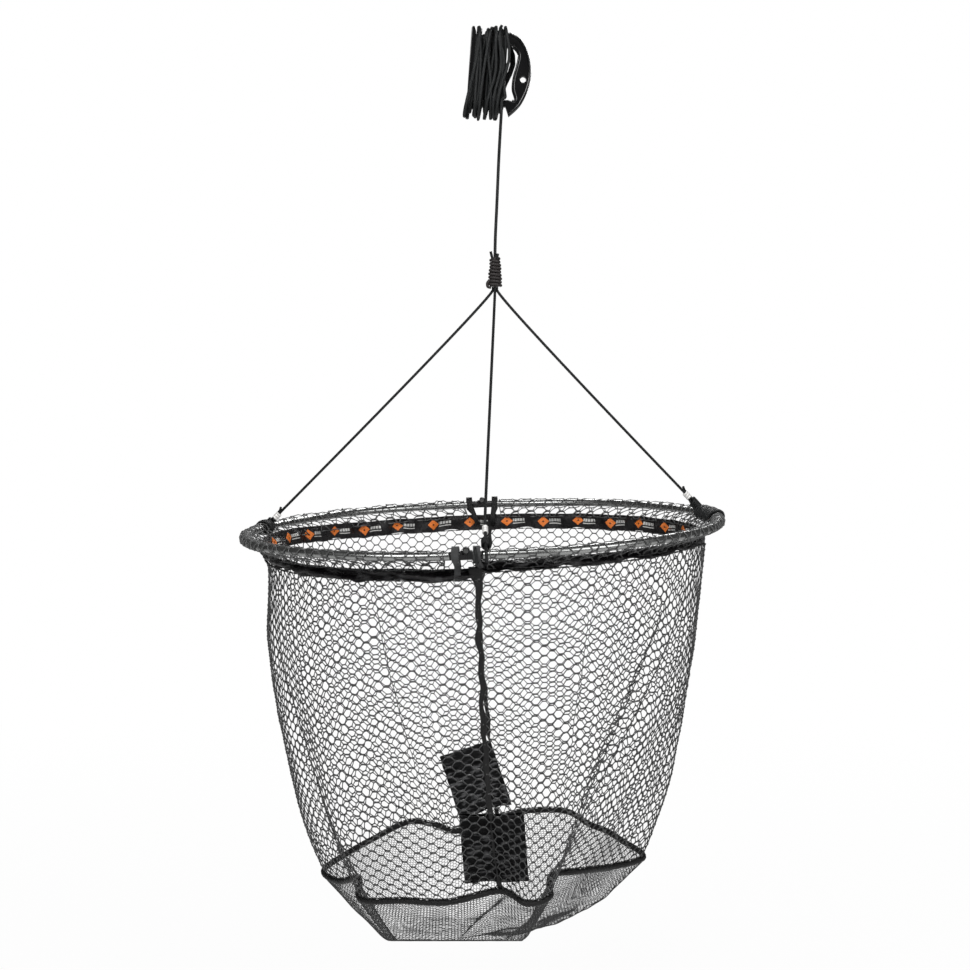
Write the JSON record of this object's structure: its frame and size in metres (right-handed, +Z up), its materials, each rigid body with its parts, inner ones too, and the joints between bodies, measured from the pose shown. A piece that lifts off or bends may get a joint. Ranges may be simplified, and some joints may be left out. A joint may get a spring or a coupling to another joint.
{
  "type": "folding drop net",
  "caption": "Folding drop net: a two-part hoop with a ribbon band, a hexagonal mesh bag with two weight pockets, a three-leg bridle, and a rope wound on a D-handled winder.",
  "frame": {"origin": "where a hand holds the wound rope, the middle of the winder's two saddle bars", "axes": "+Z up along the hanging rope and the net, +X towards the winder's D handle, -Y towards the front hinge of the hoop"},
  "size_m": [0.7022, 0.7051, 1.3564],
  "materials": {
    "winder": "gloss",
    "hinge": "satin",
    "tube": "satin",
    "pin": "satin",
    "ferrule": "satin",
    "rope": "matte",
    "webbing": "matte",
    "ribbon": "satin",
    "pocket": "matte",
    "mesh": "matte"
  },
  "bodies": {
    "hanger": {"winder_frame": "winder", "rope_winding": "rope", "rope_core": "rope", "main_rope": "rope", "knot_core": "rope", "knot_wraps": "rope", "bridle_leg_left": "rope", "bridle_leg_right": "rope", "bridle_leg_front": "rope", "ribbon_left": "ribbon", "ribbon_right": "ribbon", "net_wall_left": "mesh", "net_wall_right": "mesh", "seam_front": "ribbon", "seam_back": "ribbon", "foot_seam": "ribbon", "net_base": "mesh", "pocket_front": "pocket", "pocket_back": "pocket"},
    "hoop_left": {"hoop_tube_left": "tube", "hinge_front_left": "hinge", "hinge_back_left": "hinge", "net_sleeve_left_front": "mesh", "net_sleeve_left_back": "mesh", "web_tab_front_left": "webbing", "web_tab_back_left": "webbing", "hoop_loop_left": "rope", "ferrule_left": "ferrule"},
    "hoop_right": {"hoop_tube_right": "tube", "hinge_front_right": "hinge", "hinge_back_right": "hinge", "hinge_pin_front": "pin", "hinge_pin_back": "pin", "net_sleeve_right_front": "mesh", "net_sleeve_right_back": "mesh", "web_tab_front_right": "webbing", "web_tab_back_right": "webbing", "hoop_loop_right": "rope", "ferrule_right": "ferrule", "hoop_loop_front": "rope", "ferrule_front": "ferrule"},
    "flap_front": {"pocket_flap_front": "pocket"},
    "flap_back": {"pocket_flap_back": "pocket"}
  },
  "joints": [
    {"name": "fold_left", "type": "hinge", "parent": "hanger", "child": "hoop_left", "pos_m": [-0.01025, 0.00029, -0.65537], "axis": [0.0279, 0.9996, 0], "range_deg": [0, 78], "deforming": ["bridle_leg_left"]},
    {"name": "fold_right", "type": "hinge", "parent": "hanger", "child": "hoop_right", "pos_m": [-0.01025, 0.00029, -0.65537], "axis": [0.0279, 0.9996, 0], "range_deg": [-78, 0], "deforming": ["bridle_leg_right", "bridle_leg_front"]},
    {"name": "lift_flap_front", "type": "hinge", "parent": "hanger", "child": "flap_front", "pos_m": [0.01302, -0.26898, -1.0223], "axis": [0.9962, -0.0766, 0.0405], "range_deg": [0, 95]},
    {"name": "lift_flap_back", "type": "hinge", "parent": "hanger", "child": "flap_back", "pos_m": [-0.02291, 0.24224, -1.05599], "axis": [-0.9409, -0.2187, -0.2586], "range_deg": [0, 95]}
  ],
  "couplings": [
    {"joint": "fold_right", "follows": "fold_left", "ratio": -1}
  ]
}
